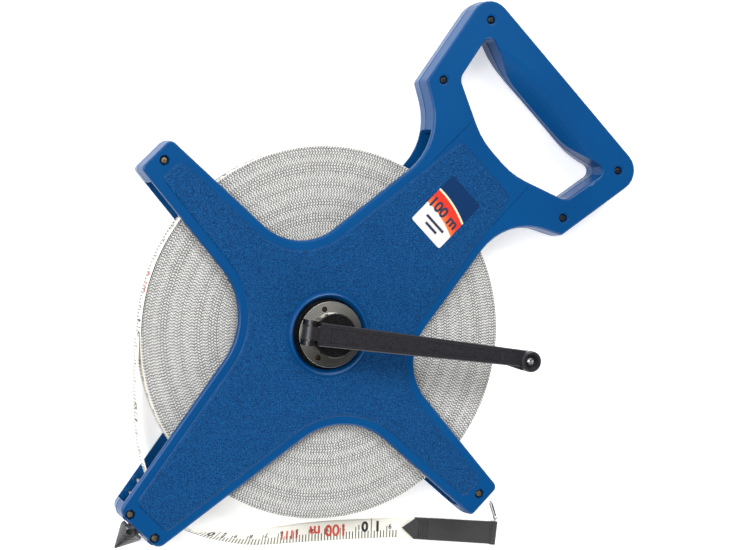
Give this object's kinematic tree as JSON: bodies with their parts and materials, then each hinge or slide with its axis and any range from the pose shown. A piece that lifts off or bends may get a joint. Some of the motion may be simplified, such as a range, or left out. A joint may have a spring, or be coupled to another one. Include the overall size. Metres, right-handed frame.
{
  "type": "surveyor tape reel",
  "caption": "Open-frame surveyor's measuring tape on a hand reel, with a folding crank, a ground spike, a hand opening and the tape's free end laid out beside it.",
  "frame": {"origin": "on the reel's axle, where it meets the rear panel's flat resting face", "axes": "+Z along the reel's axle from the rear shell up to the crank; the grip lies at 45 degrees between +X and +Y, and the spike opposite it"},
  "size_m": [0.3225, 0.3353, 0.0473],
  "materials": {
    "front_shell": "fine grained panels with smooth glossy borders",
    "rear_shell": "fine grained panels with smooth glossy borders",
    "shell_screw_handle_top": "blackened",
    "shell_screw_handle_right": "blackened",
    "shell_screw_neck_left": "blackened",
    "shell_screw_neck_right": "blackened",
    "shell_screw_upper_left": "dull yellow zinc",
    "shell_screw_lower_right": "dull yellow zinc",
    "shell_screw_spike_left": "dull yellow zinc",
    "shell_screw_spike_right": "dull yellow zinc",
    "front_bush": "satin",
    "axle": "ground",
    "thrust_washer": "smooth",
    "ground_spike": "dark, with turning marks",
    "spike_pin": "ground",
    "guide_pin_1": "ground",
    "guide_pin_2": "ground",
    "roller_pin": "ground",
    "label": "printed film",
    "tape_lead": "printed glass fibre tape",
    "end_sleeve": "matte",
    "winding_drum": "satin",
    "tape_coil": "printed glass fibre tape",
    "tape_anchor_pin": "ground",
    "hub_plate": "brushed",
    "plate_rivet_1": "dark",
    "plate_rivet_2": "dark",
    "crank_hub": "satin",
    "hub_screw": "bright zinc",
    "hinge_pin": "ground",
    "crank_arm": "satin",
    "knob_spindle": "ground",
    "knob_screw": "bright zinc",
    "knob_grip": "satin",
    "guide_roller": "smooth",
    "end_loop": "bright wire"
  },
  "bodies": {
    "frame": {"front_shell": "front_shell", "rear_shell": "rear_shell", "shell_screw_handle_top": "shell_screw_handle_top", "shell_screw_handle_right": "shell_screw_handle_right", "shell_screw_neck_left": "shell_screw_neck_left", "shell_screw_neck_right": "shell_screw_neck_right", "shell_screw_upper_left": "shell_screw_upper_left", "shell_screw_lower_right": "shell_screw_lower_right", "shell_screw_spike_left": "shell_screw_spike_left", "shell_screw_spike_right": "shell_screw_spike_right", "front_bush": "front_bush", "axle": "axle", "thrust_washer": "thrust_washer", "ground_spike": "ground_spike", "spike_pin": "spike_pin", "guide_pin_1": "guide_pin_1", "guide_pin_2": "guide_pin_2", "roller_pin": "roller_pin", "label": "label", "tape_lead": "tape_lead", "end_sleeve": "end_sleeve"},
    "reel": {"winding_drum": "winding_drum", "tape_coil": "tape_coil", "tape_anchor_pin": "tape_anchor_pin", "hub_plate": "hub_plate", "plate_rivet_1": "plate_rivet_1", "plate_rivet_2": "plate_rivet_2", "crank_hub": "crank_hub", "hub_screw": "hub_screw", "hinge_pin": "hinge_pin"},
    "crank": {"crank_arm": "crank_arm", "knob_spindle": "knob_spindle", "knob_screw": "knob_screw"},
    "knob": {"knob_grip": "knob_grip"},
    "roller": {"guide_roller": "guide_roller"},
    "loop": {"end_loop": "end_loop"}
  },
  "joints": [
    {"name": "reel_spin", "type": "hinge", "parent": "frame", "child": "reel", "pos_m": [0, 0, 0.01245], "axis": [0, 0, 1], "continuous": true},
    {"name": "crank_fold", "type": "hinge", "parent": "reel", "child": "crank", "pos_m": [-0.01509, 0.00185, 0.0372], "axis": [-0.1219, -0.9925, 0], "range_deg": [0, 180]},
    {"name": "knob_spin", "type": "hinge", "parent": "crank", "child": "knob", "pos_m": [0.12075, -0.01604, 0.032], "axis": [0, 0, 1], "continuous": true},
    {"name": "roller_spin", "type": "hinge", "parent": "frame", "child": "roller", "pos_m": [-0.092, -0.102, 0.01245], "axis": [0, 0, 1], "continuous": true},
    {"name": "loop_swing", "type": "hinge", "parent": "frame", "child": "loop", "pos_m": [0.11826, -0.12774, 0.00205], "axis": [0.1045, 0.9945, 0], "range_deg": [0, 120]}
  ]
}
